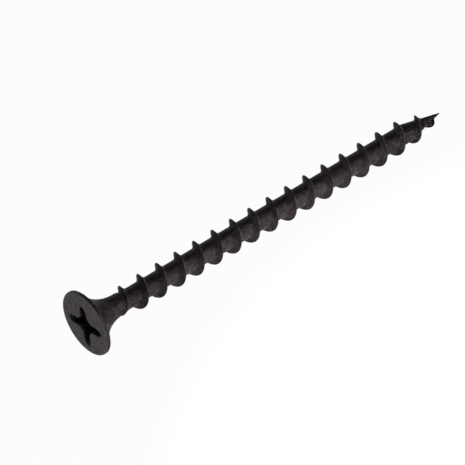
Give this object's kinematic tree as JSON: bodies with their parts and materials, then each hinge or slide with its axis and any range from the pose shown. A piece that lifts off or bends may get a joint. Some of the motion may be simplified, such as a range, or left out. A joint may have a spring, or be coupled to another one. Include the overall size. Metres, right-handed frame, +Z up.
{
  "type": "drywall screw",
  "caption": "Black steel drywall screw with a flat bugle head, a cross recess, a coarse thread and a sharp point, lying on its side.",
  "frame": {"origin": "middle of the screw's footprint, on the floor it lies on", "axes": "+Z up, +X from the head towards the point, which leans down by 2.8 degrees, and +Y to the left of someone who looks from the head to the point"},
  "size_m": [0.0552, 0.0084, 0.0084],
  "materials": {
    "phosphated_steel": "black phosphate, satin, slightly oily"
  },
  "bodies": {
    "root": {"screw": "phosphated_steel"}
  },
  "joints": []
}
